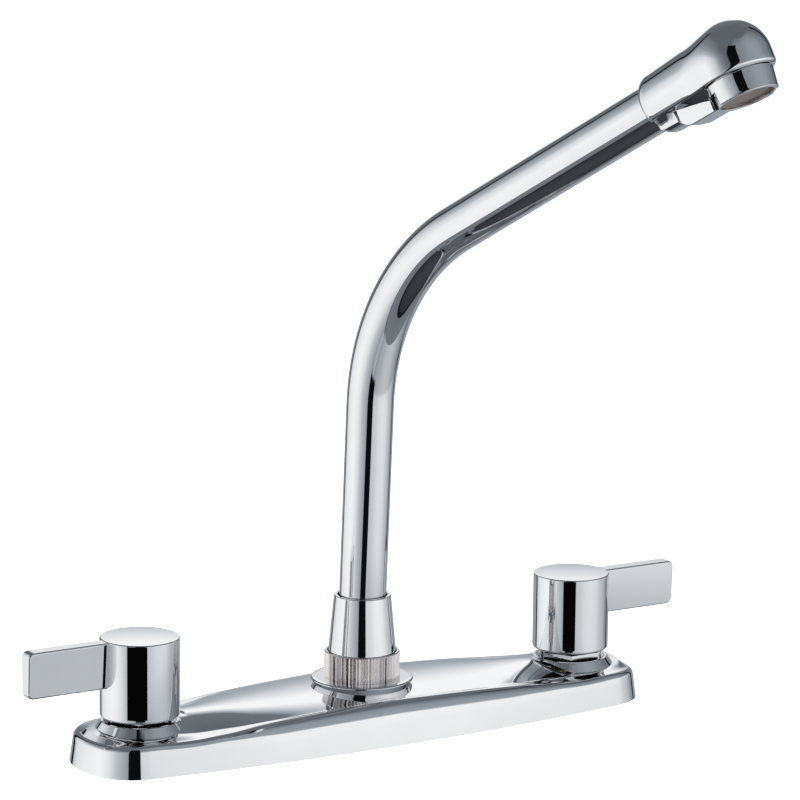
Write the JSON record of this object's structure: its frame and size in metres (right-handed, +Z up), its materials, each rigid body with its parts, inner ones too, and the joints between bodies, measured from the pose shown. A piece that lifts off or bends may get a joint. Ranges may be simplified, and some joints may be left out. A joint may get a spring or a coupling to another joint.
{
  "type": "two handle kitchen faucet",
  "caption": "Chromed deck-mounted kitchen faucet: low ridged deck plate, flat lever handles at each end, tall bent swivel spout on a knurled nut with a domed head and aerator.",
  "frame": {"origin": "middle of the deck plate's underside, on the sink's top surface, midway between the two valves", "axes": "+X from the hot (left) handle to the cold (right) handle, -Y towards the person at the sink, +Z up; at rest the handles are shut with their levers pointing outwards and the spout is turned 13.7 degrees from -Y towards +X"},
  "size_m": [0.303, 0.2316, 0.3561],
  "materials": {
    "polished_chrome": "polished mirror chrome plate over brass and zinc castings and tube",
    "knurled_chrome": "satin chrome plate on a straight knurl",
    "brass": "turned and cast, unplated",
    "copper_tube": "drawn copper tube, dull",
    "white_plastic": "moulded, fine matt",
    "grey_plastic": "moulded acetal, matt",
    "rubber": "moulded nitrile",
    "ceramic_disc": "lapped alumina",
    "steel": "stainless, woven and turned"
  },
  "bodies": {
    "faucet_body": {"deck_plate": "polished_chrome", "base_plate": "white_plastic", "knurled_nut": "knurled_chrome", "spout_hub": "brass", "spout_orings": "rubber", "hot_valve_body": "brass", "hot_seat_seal": "rubber", "hot_fixed_disc": "ceramic_disc", "hot_cartridge_sleeve": "brass", "hot_bonnet_nut": "polished_chrome", "hot_mounting_washer": "white_plastic", "hot_mounting_nut": "brass", "hot_crossover_tube": "copper_tube", "cold_valve_body": "brass", "cold_seat_seal": "rubber", "cold_fixed_disc": "ceramic_disc", "cold_cartridge_sleeve": "brass", "cold_bonnet_nut": "polished_chrome", "cold_mounting_washer": "white_plastic", "cold_mounting_nut": "brass", "cold_crossover_tube": "copper_tube"},
    "hot_handle": {"hot_handle": "polished_chrome", "hot_stem": "brass", "hot_turning_disc": "ceramic_disc", "hot_stem_oring": "rubber", "hot_set_screw": "steel"},
    "cold_handle": {"cold_handle": "polished_chrome", "cold_stem": "brass", "cold_turning_disc": "ceramic_disc", "cold_stem_oring": "rubber", "cold_set_screw": "steel"},
    "spout": {"spout_tube": "polished_chrome", "ferrule": "polished_chrome", "keeper_ring": "grey_plastic", "spout_head": "polished_chrome", "aerator_housing": "polished_chrome", "aerator_washer": "rubber", "aerator_insert": "grey_plastic", "aerator_screen": "steel"}
  },
  "joints": [
    {"name": "hot_handle_turn", "type": "hinge", "parent": "faucet_body", "child": "hot_handle", "pos_m": [-0.1016, 0, 0.03], "axis": [0, 0, 1], "range_deg": [0, 90]},
    {"name": "cold_handle_turn", "type": "hinge", "parent": "faucet_body", "child": "cold_handle", "pos_m": [0.1016, 0, 0.03], "axis": [0, 0, 1], "range_deg": [-90, 0]},
    {"name": "spout_swivel", "type": "hinge", "parent": "faucet_body", "child": "spout", "pos_m": [0, 0, 0.03], "axis": [0, 0, 1], "continuous": true}
  ]
}
